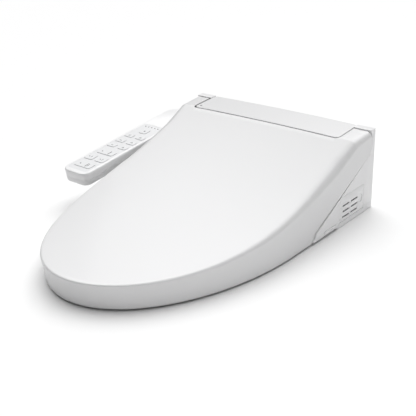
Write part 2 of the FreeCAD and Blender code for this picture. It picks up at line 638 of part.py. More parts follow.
def make_water():
    tank = box("tank_block", (-140, -38, 9), (-64, 40, 88))
    soft = round_edges("tank_soft", tank, 5, upright)
    part("water_tank", cut("water_tank_part", soft, box("tank_room", (-137, -35, 12), (-67, 37, 90))))
    cover = round_edges("tank_cover_soft", box("tank_cover", (-140, -38, 88), (-64, 40, 92)), 5, upright)
    float_hole = rod("float_hole", "Z", 4, (-80, 20, 80), 20)
    part("tank_lid", cut("tank_lid_part", cover, float_hole))
    part("tank_float_switch", fuse("tank_float_part", rod("float_stem", "Z", 4, (-80, 20, 62), 36),
                                   rod("float_ball", "Z", 8, (-80, 20, 62), 14)))
    loops = [rod(f"heater_leg{i}", "Z", 3, (x, 0, 16), 60) for i, x in enumerate((-116, -100))]
    bridge = rod("heater_bridge", "X", 3, (-116, 0, 18), 16)
    head = box("heater_head", (-122, -6, 76), (-94, 6, 84))
    part("tank_heater", fuse("tank_heater_part", bridge, *loops, head))

    thread = rod("inlet_thread", "X", "inletRadius", (-202, 24, 28), 14)
    body = rod("inlet_body", "X", 10.9, (-188, 24, 28), 18)
    bore = rod("inlet_bore", "X", 7, (-204, 24, 28), 30)
    part("inlet_fitting", cut("inlet_fitting_part", fuse("inlet_whole", thread, body), bore))
    strainer = rod("strainer_body", "X", 7, (-200, 24, 28), 22)
    strainer_core = rod("strainer_core", "X", 5.2, (-201, 24, 28), 24)
    part("inlet_strainer", cut("inlet_strainer_part", strainer, strainer_core))
    valve = fuse("valve_body", box("valve_block", (-170, 10, 14), (-144, 38, 42)),
                 rod("valve_coil", "Z", 11, (-157, 24, 42), 20))
    part("solenoid_valve", valve)
    part("diverter_valve", fuse("diverter_body", rod("diverter_can", "X", 12, (34, 30, 60), 22),
                                rod("diverter_cap", "X", 9, (26, 30, 60), 8)))
    supply = [rod("hose_tank", "Y", 3, (-100, 40, 70), 8), rod("hose_cross", "X", 3.5, (-104, 48, 70), 149),
              rod("hose_down", "Y", 3, (42, 41.5, 70), 6.5)]
    part("hot_water_hose", fuse("hot_water_hose_part", *supply))
    part("tank_supply_hose", rod("tank_supply_rod", "X", 3.5, (-144, 20, 30), 4))
    plug_head = rod("drain_head", "X", 9, (-191, -24, 15), 2.9)
    plug_stem = rod("drain_stem", "X", 6.9, (-188.2, -24, 15), 10)
    slot = box("drain_slot", (-192, -31, 14), (-189.6, -17, 16))
    part("drain_plug", cut("drain_plug_part", fuse("drain_whole", plug_head, plug_stem), slot))


# ---- Electrics ---------------------------------------------------------------------------------------

def make_electrics():
    board = box("board", (-98, -18, 113), (98, 52, 114.6))
    chips = [box(f"chip{i}", (x, y, 114.6), (x + wide, y + deep, 114.6 + tall))
             for i, (x, y, wide, deep, tall) in enumerate(((-92, 0, 30, 24, 8), (-50, 10, 12, 12, 4),
                                                           (-20, 5, 22, 22, 3), (26, -5, 26, 20, 8),
                                                           (66, 10, 24, 30, 8)))]
    part("main_board", fuse("main_board_part", board, *chips))
    supply = box("supply_block", (56, -66, 10), (108, 10, 60))
    part("power_supply", round_edges("power_supply_part", supply, 3, upright))
    gland = fuse("gland_whole", rod("gland_sleeve", "Y", 6.9, (150, "rearY - 8", 22), 8.2),
                 rod("gland_flange", "Y", 9.5, (150, "rearY", 22), 2.5))
    part("power_gland", cut("power_gland_part", gland, rod("gland_bore", "Y", 3.6, (150, 40, 22), 40)))
    part("seat_switch", box("seat_switch_part", (130, -60, 62), (146, -46, 74)))


# ---- Deodorising cassette and fan --------------------------------------------------------------------

def make_cassette():
    """A drawer in the +X side: a louvred face, a filter box behind it and a finger notch."""
    face = box("cassette_face", ("caseHalf - 2.6", "cassetteFrontY + 0.5", "cassetteFootZ + 0.5"),
               ("caseHalf", "cassetteRearY - 0.5", "cassetteTopZ - 0.5"))
    tray = box("cassette_tray", (160, -40, 12), ("caseHalf - 2.6", 26, 50))
    room = box("cassette_room", (162, -38, 14), (250, 24, 48))
    through = box("cassette_through", (155, -30, 20), (170, 14, 42))
    slots = []
    for column, y in enumerate((-36, -10)):
        for row_number in range(3):
            z = 16 + 10 * row_number
            slots.append(box(f"vent{column}{row_number}", ("caseHalf - 4", y, z - 1.4),
                             ("caseHalf + 1", f"{y} + slotLength", z + 1.4)))
    notch = rod("cassette_notch", "X", 7, ("caseHalf - 1.2", 20, 31), 3)
    hollow_tray = cut("cassette_open", tray, room, through)
    part("filter_cassette", fuse("filter_cassette_part", hollow_tray,
                                 cut("cassette_front", face, *slots, notch)))
    part("carbon_filter", box("carbon_filter_part", (162.1, -37.9, 14.1), (180, 23.9, 47.9)))

    shell = rod("fan_shell", "X", "fanRadius + 4", (122, "fanY", "fanZ"), 30)
    room = rod("fan_room", "X", "fanRadius", (124, "fanY", "fanZ"), 26)
    inlet = rod("fan_inlet", "X", 17, (140, "fanY", "fanZ"), 20)
    outlet = box("fan_outlet", (128, "fanY", "fanZ + 16"), (148, "fanY + 12", "fanZ + 40"))
    axle = rod("fan_axle", "X", 2, (123, "fanY", "fanZ"), 22)
    part("fan_housing", fuse("fan_housing_part", cut("fan_open", shell, room, inlet, outlet), axle))
    hub = rod("rotor_hub", "X", 8, (125.5, "fanY", "fanZ"), 18)
    disc = rod("rotor_disc", "X", "fanRadius - 3", (125.5, "fanY", "fanZ"), 2)
    blades = []
    for number in range(9):
        turned = Placement(Vector(0, size("fanY"), size("fanZ")), Rotation(Vector(1, 0, 0), 40 * number))
        blades.append(placed_box(f"rotor_blade{number}", (125.5, 7, -0.6), (143.5, "fanRadius - 3", 0.6),
                                 turned))
    part("fan_rotor", cut("fan_rotor_part", fuse("rotor_whole", hub, disc, *blades),
                          rod("rotor_bore", "X", "2 + runClear", (120, "fanY", "fanZ"), 40)))


def make_release():
    """The button that frees the unit from its plate."""
    blank = box("release_block", ("caseHalf - 12", -91, 7), ("caseHalf + 1", -59, 11))
    face = size("caseHalf")
    part("release_button", round_edges("release_part", blank, 1, lambda e: e.BoundBox.XMin > face))


# ---- Control arm -------------------------------------------------------------------------------------

def arm_frame():
    """The arm's own frame: its +Y runs rearwards along the sloping top, z = 0 at the top."""
    base = Vector(0, size("armFrontY"), size("armFrontZ"))
    return Placement(base, Rotation(Vector(1, 0, 0), size("armTilt")))


KEYS = [
    # name, x from the arm's middle, distance from the front, half width, half length
    ("key_stop", 0, 30, 20, 9),
    ("key_rear_wash", -14, 58, 11, 9), ("key_front_wash", 14, 58, 11, 9),
    ("key_dry", 0, 84, 20, 8),
    ("key_pressure_down", -14, 112, 10, 6), ("key_pressure_up", 14, 112, 10, 6),
    ("key_nozzle_back", -14, 134, 10, 6), ("key_nozzle_forward", 14, 134, 10, 6),
    ("key_seat_heat", -14, 158, 10, 6), ("key_water_heat", 14, 158, 10, 6),
    ("key_power", 0, 184, 9, 9),
]


def arm_plan(name, inset, low_z, high_z):
    """A block with the arm's rounded plan between two local heights."""
    block = box(name, (f"armOuter + {inset}", inset, low_z),
                (f"armInner - {inset}", f"armLength - {inset}", high_z))
    middle = evaluate("(armInner + armOuter) / 2")
    inner = round_edges(name + "_inner", block, 14 - inset,
                        lambda e: upright(e) and e.BoundBox.YMin < 50 and e.BoundBox.XMin > middle)
    front = round_edges(name + "_front", inner, 20 - inset,
                        lambda e: upright(e) and e.BoundBox.YMin < 20 and e.BoundBox.XMax < middle)
    return round_edges(name + "_rear", front, 24 - inset, lambda e: upright(e) and e.BoundBox.YMin > 250)


def key_block(name, x, y, half_wide, half_long, grow, low_z, high_z):
    middle = "(armInner + armOuter) / 2"
    block = box(name, (f"{middle} + {x - half_wide - grow}", y - half_long - grow, low_z),
                (f"{middle} + {x + half_wide + grow}", y + half_long + grow, high_z))
    return round_edges(name + "_soft", block, min(half_wide, half_long) * 0.45 + grow, upright)


def lamp_rods(name, radius, length):
    """A rod at each of the indicator lamps behind the keys."""
    middle = "(armInner + armOuter) / 2"
    return [rod(f"{name}{i}", "Z", radius, (f"{middle} + {x}", 204, -6), length)
            for i, x in enumerate((-16, -8, 0, 8, 16))]


def make_arm():
    frame = arm_frame()
    body = arm_plan("arm_body", 0, "-armSplit", 0)
    soft = round_edges("arm_body_soft", body, 2.5, lambda e: e.BoundBox.ZMin > -0.01)
    cavity = arm_plan("arm_cavity", size("armWall"), "-armSplit - 1", "-armWall")
    tray = round_edges("arm_recess", box("arm_recess_block", ("armOuter + 6", 10, -0.8),
                                         ("armInner - 6", 212, 5)), 8, upright)
    key_holes = [key_block(name + "_hole", x, y, wide, long, 0.35, -6, 5) for name, x, y, wide, long in KEYS]
    lamp_holes = lamp_rods("lamp_hole", 1.3, 12)
    part("arm_upper", cut("arm_upper_part", soft, cavity, tray, *key_holes, *lamp_holes), frame)

    film_block = box("overlay_block", ("armOuter + 6.1", 10.1, -0.8), ("armInner - 6.1", 211.9, -0.2))
    film = round_edges("overlay_blank", film_block, 7.9, upright)
    key_windows = [key_block(name + "_window", x, y, wide, long, 0.35, -6, 5)
                   for name, x, y, wide, long in KEYS]
    part("arm_overlay", cut("arm_overlay_part", film, *key_windows, *lamp_rods("lamp_window", 1.3, 12)), frame)
    part("arm_lamps", fuse("arm_lamps_part", *lamp_rods("lamp", 1.28, 5.9)), frame)
    for name, x, y, wide, long in KEYS:
        cap = key_block(name + "_cap", x, y, wide, long, 0, -5.6, "keyStand")
        part(name, round_edges(name + "_top", cap, 0.5, lambda e: e.BoundBox.ZMin > 0.5), frame)

    lower = arm_plan("arm_base", 0, "-armDepth", "-armSplit")
    lower_soft = round_edges("arm_base_soft", lower, 4, lambda e: e.BoundBox.ZMax < -size("armDepth") + 0.01)
    lower_room = arm_plan("arm_base_room", size("armWall"), "-armDepth + armWall", "-armSplit + 1")
    part("arm_lower", cut("arm_lower_part", lower_soft, lower_room), frame)
    part("arm_board", box("arm_board_part", ("armOuter + 8", 14, -9.6), ("armInner - 8", 214, -8)), frame)

    under = "armFrontZ - armDepth * 1.0064 + 0.113 * ({} - armFrontY) - 0.1"
    shelf = profile("arm_shelf", "YZ_Plane", [(-44, 42), (-44, under.format("-44")), (44, under.format("44")),
                                              (44, 52)], ("armOuter + 10", 0, 0), "armInner - armOuter - 10")
    neck = profile("arm_neck", "YZ_Plane", [(-44, 42), (-44, 51.5), (22, 86.5), (44, 91), (44, 52)],
                   ("armInner", 0, 0), "-caseHalf - armInner")
    part("arm_bracket", fuse("arm_bracket_part", shelf, neck))


# ---- Fastenings --------------------------------------------------------------------------------------

def make_screws():
    """Screws under the arm, one group."""
    frame = arm_frame()
    places = [(x, y) for x in ("armOuter + 12", "armInner - 12") for y in (26, 110, 192)]
    screws = [rod(f"arm_screw{i}", "Z", 2.6, (x, y, "-armDepth - 1.2"), 1.2)
              for i, (x, y) in enumerate(places)]
    part("arm_screw_caps", fuse("arm_screw_caps_part", *screws), frame)


for make in (make_lid, make_lid_bumpers, make_seat, make_case, make_panel, make_hinge, make_plate,
             make_nozzle, make_water, make_electrics, make_cassette, make_release, make_arm, make_screws):
    make()

doc.recompute()
for thing in doc.Objects:
    if "Invalid" in thing.State or "Error" in thing.State:
        raise ValueError(f"{thing.Name} failed: {thing.State}")
os.makedirs("parts", exist_ok=True)
for piece in SUBPARTS:
    if piece.Shape.isNull() or not piece.Shape.isValid() or not piece.Shape.Solids:
        raise ValueError(f"{piece.Label} has no valid solid")
    piece.Shape.exportStep(f"parts/{piece.Label}.step")
    print(piece.Label, len(piece.Shape.Solids), "solids", round(piece.Shape.Volume / 1000, 2), "cm3")
print(len(SUBPARTS), "sub-parts")
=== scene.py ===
import json
import math

import bmesh
import bpy
from mathutils import Matrix, Vector


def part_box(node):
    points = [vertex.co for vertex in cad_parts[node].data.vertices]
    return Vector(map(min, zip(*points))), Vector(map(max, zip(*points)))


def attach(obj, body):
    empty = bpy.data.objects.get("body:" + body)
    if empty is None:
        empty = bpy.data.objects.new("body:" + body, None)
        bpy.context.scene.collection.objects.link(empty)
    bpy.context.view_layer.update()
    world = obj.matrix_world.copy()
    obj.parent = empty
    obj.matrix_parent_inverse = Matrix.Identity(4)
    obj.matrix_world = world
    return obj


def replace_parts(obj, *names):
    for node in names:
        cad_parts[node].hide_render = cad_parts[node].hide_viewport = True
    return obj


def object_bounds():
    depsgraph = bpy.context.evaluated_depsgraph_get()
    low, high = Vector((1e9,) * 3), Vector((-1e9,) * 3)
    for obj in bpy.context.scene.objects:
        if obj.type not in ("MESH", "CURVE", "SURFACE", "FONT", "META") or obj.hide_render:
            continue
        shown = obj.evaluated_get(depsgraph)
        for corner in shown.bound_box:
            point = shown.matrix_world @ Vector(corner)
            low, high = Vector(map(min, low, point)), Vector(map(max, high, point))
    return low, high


# The looks of an electric bidet seat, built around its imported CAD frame.
# Metres, +Z up, the nose along -Y.

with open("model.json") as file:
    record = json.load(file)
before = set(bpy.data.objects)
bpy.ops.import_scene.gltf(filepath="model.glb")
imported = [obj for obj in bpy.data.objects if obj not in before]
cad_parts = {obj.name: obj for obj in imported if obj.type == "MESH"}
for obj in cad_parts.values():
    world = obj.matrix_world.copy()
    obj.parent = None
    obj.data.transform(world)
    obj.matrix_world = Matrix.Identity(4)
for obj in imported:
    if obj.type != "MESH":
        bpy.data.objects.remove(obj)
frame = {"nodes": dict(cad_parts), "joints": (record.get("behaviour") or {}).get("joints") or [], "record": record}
nodes = frame["nodes"]
cad_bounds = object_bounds()
MM = 0.001


def joint(name):
    return next(j for j in frame["joints"] if j["name"] == name)


# ---- Places read from the frame ------------------------------------------------------------------

PANEL_LOW, PANEL_HIGH = (Vector(corner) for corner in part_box("top_panel"))
HINGE = Vector(joint("seat_hinge")["pos_m"])


# ---- Materials -----------------------------------------------------------------------------------

GRAIN_DEPTH = 0.0004
MOTTLE_SCALE = 9
ROUGH_SPREAD = 0.05


def node_material(name, color, roughness, coat=0.0, metallic=0.0, grain=900.0, bump=0.02,
                  mottle=0.012, grain_stretch=(1, 1, 1)):
    """Plastic, rubber or metal: a fine grain in the bump, a slow mottle in colour and roughness."""
    material = bpy.data.materials.new(name)
    material.use_nodes = True
    tree = material.node_tree
    shader = tree.nodes["Principled BSDF"]
    shader.inputs["Metallic"].default_value = metallic
    shader.inputs["Coat Weight"].default_value = coat
    shader.inputs["Coat Roughness"].default_value = 0.08
    place = tree.nodes.new("ShaderNodeTexCoord")
    stretch = tree.nodes.new("ShaderNodeMapping")
    stretch.inputs["Scale"].default_value = grain_stretch
    tree.links.new(place.outputs["Object"], stretch.inputs["Vector"])

    fine = tree.nodes.new("ShaderNodeTexNoise")
    fine.inputs["Scale"].default_value = grain
    fine.inputs["Detail"].default_value = 3
    tree.links.new(stretch.outputs["Vector"], fine.inputs["Vector"])
    raised = tree.nodes.new("ShaderNodeBump")
    raised.inputs["Strength"].default_value = bump
    raised.inputs["Distance"].default_value = GRAIN_DEPTH
    tree.links.new(fine.outputs["Fac"], raised.inputs["Height"])
    tree.links.new(raised.outputs["Normal"], shader.inputs["Normal"])

    slow = tree.nodes.new("ShaderNodeTexNoise")
    slow.inputs["Scale"].default_value = MOTTLE_SCALE
    slow.inputs["Detail"].default_value = 4
    tree.links.new(place.outputs["Object"], slow.inputs["Vector"])
    mix = tree.nodes.new("ShaderNodeMix")
    mix.data_type = "RGBA"
    dark = [max(c * (1 - mottle), 0) for c in color]
    light = [min(c * (1 + mottle), 1) for c in color]
    mix.inputs["A"].default_value = (*dark, 1)
    mix.inputs["B"].default_value = (*light, 1)
    tree.links.new(slow.outputs["Fac"], mix.inputs["Factor"])
    tree.links.new(mix.outputs["Result"], shader.inputs["Base Color"])
    rough = tree.nodes.new("ShaderNodeMapRange")
    rough.inputs["To Min"].default_value = max(roughness - ROUGH_SPREAD, 0.02)
    rough.inputs["To Max"].default_value = min(roughness + ROUGH_SPREAD, 1)
    tree.links.new(slow.outputs["Fac"], rough.inputs["Value"])
    tree.links.new(rough.outputs["Result"], shader.inputs["Roughness"])
    return material


WHITE = (0.775, 0.775, 0.78)
LOOKS = {
    "shell_white": node_material("lid_white", WHITE, 0.34, coat=0.12, grain=260, bump=0.012),
    "seat_white": node_material("seat_white", WHITE, 0.28, coat=0.2, grain=260, bump=0.015),
    # case_white and arm_white are lighter than the lid's white as painted light: they brighten the case and the
    # arm where the lamps leave them darker than the lid.
    "case_white": node_material("case_white", (0.86, 0.86, 0.865), 0.36, grain=1400, bump=0.05),
    "arm_white": node_material("arm_white", (0.90, 0.90, 0.905), 0.34, grain=1400, bump=0.05),
    "key_white": node_material("key_white", (0.80, 0.805, 0.815), 0.42, grain=1800, bump=0.06),
    "overlay": node_material("overlay_film", (0.79, 0.795, 0.805), 0.4, grain=2200, bump=0.08),
    "nozzle_white": node_material("nozzle_white", (0.82, 0.82, 0.82), 0.2, coat=0.3, grain=400),
    "gear_white": node_material("gear_acetal", (0.75, 0.74, 0.70), 0.45, grain=900, bump=0.05),
    "dark_plastic": node_material("dark_plastic", (0.045, 0.046, 0.05), 0.5, grain=1500, bump=0.1,
                                  mottle=0.1),
    "tank_plastic": node_material("tank_plastic", (0.58, 0.60, 0.62), 0.4, grain=500, bump=0.05),
    "hose": node_material("hose_silicone", (0.42, 0.43, 0.44), 0.5, grain=700, bump=0.05),
    "rubber_grey": node_material("grey_rubber", (0.36, 0.37, 0.38), 0.7, grain=1300, bump=0.15,
                                 mottle=0.05),
    "rubber_clear": node_material("pale_rubber", (0.62, 0.63, 0.64), 0.55, grain=1300, bump=0.1),
    "foil": node_material("heater_foil", (0.78, 0.78, 0.79), 0.3, metallic=1.0, grain=120,
                          bump=0.3),
    "steel": node_material("brushed_steel", (0.60, 0.60, 0.61), 0.3, metallic=1.0, grain=500,
                           bump=0.1, grain_stretch=(0.05, 1, 1)),
    "brass": node_material("turned_brass", (0.72, 0.56, 0.30), 0.28, metallic=1.0, grain=600,
                           bump=0.08, grain_stretch=(1, 0.1, 0.1)),
    "board_green": node_material("board_green", (0.03, 0.16, 0.08), 0.4, grain=300, bump=0.1,
                                 mottle=0.2),
    "carbon": node_material("carbon_foam", (0.02, 0.02, 0.02), 0.95, grain=450, bump=0.9,
                            mottle=0.4),
    "lens_dark": node_material("smoked_lens", (0.06, 0.065, 0.07), 0.12, coat=0.5, grain=300),
}


def dress(obj, slot_name):
    """Give a piece the material of the named slot."""
    obj.data.materials.clear()
    obj.data.materials.append(LOOKS[slot_name])
    return obj


SLOT_OF = {entry["node"]: entry["material_slot"] for entry in frame["record"]["subparts"]}
BODY_OF = {node: body for body, members in frame["record"]["behaviour"]["bodies"].items()
           for node in members}

for name, node in nodes.items():
    node.data.materials.clear()
    node.data.materials.append(LOOKS[SLOT_OF[name]])


# ---- Camera, light and floor ---------------------------------------------------------------------

def aim(obj, target, azimuth, elevation, distance, roll=0.0):
    """Put obj on a sphere around target, looking at it. Azimuth 0 looks along +Y."""
    az, el = math.radians(azimuth), math.radians(elevation)
    back = Vector((math.sin(az) * math.cos(el), -math.cos(az) * math.cos(el), math.sin(el)))
    right = Vector((math.cos(az), math.sin(az), 0))
    up = back.cross(right)
    turn = math.radians(roll)
    across = right * math.cos(turn) + up * math.sin(turn)
    upward = up * math.cos(turn) - right * math.sin(turn)
    axes = Matrix((across, upward, back)).transposed().to_4x4()
    obj.matrix_world = Matrix.Translation(Vector(target) + back * distance) @ axes


camera = bpy.data.objects.new("camera", bpy.data.cameras.new("camera"))
bpy.context.scene.collection.objects.link(camera)
bpy.context.scene.camera = camera
camera.data.sensor_width = 36
camera.data.lens = 66.25
camera.data.clip_end = 90
VIEW_CENTRE = (0.0467, -0.2076, 0.06)
aim(camera, VIEW_CENTRE, azimuth=41.1, elevation=24.77, distance=1.2021, roll=-2.355)


LIT_CENTRE = (0, -0.2, 0.05)


def add_light(light, azimuth, elevation, distance):
    """Put a light in the scene, shining on the object."""
    lamp = bpy.data.objects.new(light.name, light)
    bpy.context.scene.collection.objects.link(lamp)
    aim(lamp, LIT_CENTRE, azimuth, elevation, distance)


sky = bpy.data.lights.new("soft_sky", "SUN")
sky.energy = 3.45
sky.angle = math.radians(76)
add_light(sky, azimuth=211, elevation=66, distance=2.5)

fill = bpy.data.lights.new("right_fill", "AREA")
fill.shape = "RECTANGLE"
fill.size = 1.8
fill.size_y = 0.5
fill.energy = 9.5
add_light(fill, azimuth=70, elevation=7, distance=2.6)

world = bpy.data.worlds.new("studio")
bpy.context.scene.world = world
world.use_nodes = True
world.node_tree.nodes["Background"].inputs["Color"].default_value = (1, 1, 1, 1)
world.node_tree.nodes["Background"].inputs["Strength"].default_value = 0.055
bpy.context.scene.view_settings.view_transform = "Standard"

FLOOR_HALF = 40
FLOOR_GAP = 0.0005
floor_mesh = bpy.data.meshes.new("floor")
floor_mesh.from_pydata([(x * FLOOR_HALF, y * FLOOR_HALF, 0)
                        for x, y in ((-1, -1), (1, -1), (1, 1), (-1, 1))], [], [(0, 1, 2, 3)])
floor = bpy.data.objects.new("floor", floor_mesh)
floor.location.z = cad_bounds[0][2] - FLOOR_GAP
bpy.context.scene.collection.objects.link(floor)
floor_mesh.materials.append(node_material("floor_paper", (0.95, 0.95, 0.95), 0.95, grain=40,
                                          bump=0.01, mottle=0.004))


# ---- Mesh helpers --------------------------------------------------------------------------------

def mesh_object(name, vertices, faces, slot_name, body, smooth=True):
    mesh = bpy.data.meshes.new(name)
    mesh.from_pydata([tuple(v) for v in vertices], [], faces)
    mesh.validate()
    obj = bpy.data.objects.new(name, mesh)
    bpy.context.scene.collection.objects.link(obj)
    if smooth:
        mesh.shade_smooth()
    dress(obj, slot_name)
    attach(obj, body)
    return obj


def modify(obj, kind, **settings):
    modifier = obj.modifiers.new(kind.lower(), kind)
    for key, value in settings.items():
        setattr(modifier, key, value)
    return modifier


def bake(obj):
    """Turn an object's modifiers into its mesh."""
    bpy.context.view_layer.update()
    evaluated = obj.evaluated_get(bpy.context.evaluated_depsgraph_get())
    result = bpy.data.meshes.new_from_object(evaluated)
    obj.modifiers.clear()
    old = obj.data
    obj.data = result
    bpy.data.meshes.remove(old)
    return obj


def softened(node, width):
    """A copy of a CAD node with its sharp edges rounded, standing for it."""
    mesh = nodes[node].data.copy()
    work = bmesh.new()
    work.from_mesh(mesh)
    bmesh.ops.remove_doubles(work, verts=work.verts, dist=2e-6)
    bmesh.ops.dissolve_limit(work, angle_limit=math.radians(0.6), verts=work.verts,
                             edges=work.edges)
    work.to_mesh(mesh)
    work.free()
    mesh.name = node + "_soft"
    obj = bpy.data.objects.new(node + "_soft", mesh)
    bpy.context.scene.collection.objects.link(obj)
    for polygon in mesh.polygons:
        polygon.use_smooth = True
    modify(obj, "BEVEL", width=width, segments=3, limit_method="ANGLE",
           angle_limit=math.radians(28), harden_normals=True, use_clamp_overlap=True)
    bake(obj)
    dress(obj, SLOT_OF[node])
    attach(obj, BODY_OF[node])
    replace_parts(obj, node)
    return obj


# ---- Lid -----------------------------------------------------------------------------------------

# The lid's plan is a half ellipse in front of ARC_Y, then straight sides. It draws in towards its
# foot. Its skin climbs from NOSE_Y to KNEE_Y and runs nearly level behind it.
ARC_Y = -0.170
KNEE_Y = -0.003
NOSE_Y = -0.471
CAP_Z = 0.150
FOOT_HALF_WIDTH = 0.185
SIDE_DRAFT = 0.00625
FOOT_REACH = 0.296
NOSE_DRAFT = 0.01875

NOSE_TOP_Z = 0.0425
CLIMB = 0.0975
CLIMB_POWER = 2.2
LEVEL_RISE = 0.0046
LEVEL_LENGTH = 0.063
NOSE_CROWN = 0.0015
CROWN_GAIN = 0.0035
CROWN_LOSS = 0.0024
CROWN_LOSS_FROM = 0.7
CROWN_HALF_WIDTH = 0.19

SKIRT_FOOT_Z = 0.0027
SLANT_FOOT_Y = -0.122
SLANT_LOW_Y = -0.113
SLANT_STEP = 0.0155
SLANT_CLIMB = 0.5294

REAR_EDGE = -0.006
REAR_CORNER = 0.008
CHEEK_RADIUS = 0.0288
CHEEK_DISC_FROM = 0.0134
LID_WALL = 0.0027


def half_width(z):
    return FOOT_HALF_WIDTH + SIDE_DRAFT * z / CAP_Z


def reach(z):
    return FOOT_REACH + NOSE_DRAFT * z / CAP_Z


def lid_top(x, y):
    """The height of the lid's skin."""
    along = min(max((y - NOSE_Y) / (KNEE_Y - NOSE_Y), 0), 1)
    late = max(along - CROWN_LOSS_FROM, 0) / 0.3
    crown = NOSE_CROWN + CROWN_GAIN * min(along * 2, 1) - CROWN_LOSS * late
    level = LEVEL_RISE * max(y - KNEE_Y, 0) / LEVEL_LENGTH
    return NOSE_TOP_Z + CLIMB * along ** CLIMB_POWER + level - crown * (x / CROWN_HALF_WIDTH) ** 2


def lid_foot(y):
    """The height of the lid's lower edge: level under the skirt, then the slant to the hinge."""
    if y < SLANT_FOOT_Y:
        return SKIRT_FOOT_Z
    if y < SLANT_LOW_Y:
        return SKIRT_FOOT_Z + SLANT_STEP * (y - SLANT_FOOT_Y) / (SLANT_LOW_Y - SLANT_FOOT_Y)
    return SKIRT_FOOT_Z + SLANT_STEP + SLANT_CLIMB * (y - SLANT_LOW_Y)


def cheek_arc(y, sign):
    """The upper or lower height of the round end of a cheek."""
    span = max(CHEEK_RADIUS ** 2 - (y - HINGE.y) ** 2, 0)
    return HINGE.z + sign * math.sqrt(span)


NOSE_ROUND = 0.003
ARC_ROUND = 0.010
WIDEST_ROUND = 0.018
WIDEST_Y = -0.05
REAR_ROUND_LENGTH = 0.09


def edge_round(y):
    """The radius of the round between the lid's top and its side, widest in front of the hinge."""
    if y < ARC_Y:
        share = (y - NOSE_Y) / (ARC_Y - NOSE_Y)
        return NOSE_ROUND + (ARC_ROUND - NOSE_ROUND) * max(share, 0) ** 1.5
    if y < WIDEST_Y:
        return ARC_ROUND + (WIDEST_ROUND - ARC_ROUND) * (y - ARC_Y) / (WIDEST_Y - ARC_Y)
    share = min((y - WIDEST_Y) / REAR_ROUND_LENGTH, 1)
    return WIDEST_ROUND + (ARC_ROUND - WIDEST_ROUND) * share


class Column:
    """One station round the lid's edge: where the skirt stands and which way is inward."""

    def __init__(self, side, angle=None, y=None):
        self.side = side
        self.angle = angle
        self.y = y
        z = 0.08
        for _ in range(4):
            point = self.at(z)
            z = self.skin(point.x, point.y)
        self.crest = self.at(z)
        if angle is None:
            self.inward = Vector((-side, 0))
        else:
            normal = Vector((-side * math.sin(angle) / half_width(z), math.cos(angle) / reach(z)))
            self.inward = normal.normalized()

    def at(self, z):
        if self.angle is None:
            return Vector((self.side * half_width(z), self.y, z))
        return Vector((self.side * half_width(z) * math.sin(self.angle),
                       ARC_Y - reach(z) * math.cos(self.angle), z))

    def skin(self, x, y):
        top = lid_top(x, y)
        if y > HINGE.y:
            top = min(top, cheek_arc(y, 1))
        return top

    def foot(self):
        y = self.at(0.03).y
        return cheek_arc(y, -1) if y > HINGE.y + CHEEK_DISC_FROM else lid_foot(y)


def lid_columns():
    """Stations from the rear of the -X cheek, round the nose, to the rear of the +X cheek."""
    side = [ARC_Y + (SLANT_FOOT_Y - ARC_Y) * i / 8 for i in range(1, 9)]
    side += [SLANT_FOOT_Y + (SLANT_LOW_Y - SLANT_FOOT_Y) * i / 4 for i in range(1, 5)]
    side += [SLANT_LOW_Y + (REAR_EDGE - REAR_CORNER - SLANT_LOW_Y) * i / 20 for i in range(1, 21)]
    notch = [REAR_EDGE + REAR_CORNER * (1 - math.cos(math.radians(90) * i / 6)) for i in range(7)]
    first = notch[-1]
    last = HINGE.y + CHEEK_RADIUS - 0.0001
    rear = [first + (last - first) * math.sin(math.radians(90) * i / 24) for i in range(1, 25)]
    stations = side + notch + rear
    angles = [math.radians(90) * (1 - (i / 48) ** 1.05) for i in range(0, 49)]
    left = [Column(-1, y=y) for y in reversed(stations)] + [Column(-1, angle=a) for a in angles]
    right = [Column(1, angle=a) for a in reversed(angles[:-1])] + [Column(1, y=y) for y in stations]
    return left + right


def notch_corner(y):
    """How much farther in the skin reaches where the rear gap's corner is rounded."""
    if REAR_EDGE <= y < REAR_EDGE + REAR_CORNER:
        return REAR_CORNER - math.sqrt(REAR_CORNER ** 2 - (REAR_EDGE + REAR_CORNER - y) ** 2)
    return REAR_CORNER if y < REAR_EDGE else 0.0


SKIRT_ROWS = 10
ROUND_ROWS = 8
SHELF = 0.0335
SHELF_ROWS = 8
FILL_ROWS = 16


def column_points(column):
    """Points up the skirt, over the rounded edge and inward to the shelf line."""
    crest_y = column.crest.y
    radius = edge_round(crest_y)
    foot = column.foot()
    top_edge = column.skin(column.crest.x, crest_y)
    radius = min(radius, max((top_edge - foot) * 0.45, 0.0002))
    points = []
    for i in range(SKIRT_ROWS + 1):
        z = foot + (top_edge - radius - foot) * i / SKIRT_ROWS
        points.append(column.at(z))
    for i in range(1, ROUND_ROWS + 1):
        turn = math.radians(90) * i / ROUND_ROWS
        inset = radius * (1 - math.cos(turn))
        spot = column.crest.xy + column.inward * inset
        z = column.skin(spot.x, spot.y) - radius * (1 - math.sin(turn))
        points.append(Vector((spot.x, spot.y, z)))
    shelf = SHELF + notch_corner(crest_y)
    for i in range(1, SHELF_ROWS + 1):
        inset = radius + (shelf - radius) * i / SHELF_ROWS
        spot = column.crest.xy + column.inward * inset
        points.append(Vector((spot.x, spot.y, column.skin(spot.x, spot.y))))
    return points


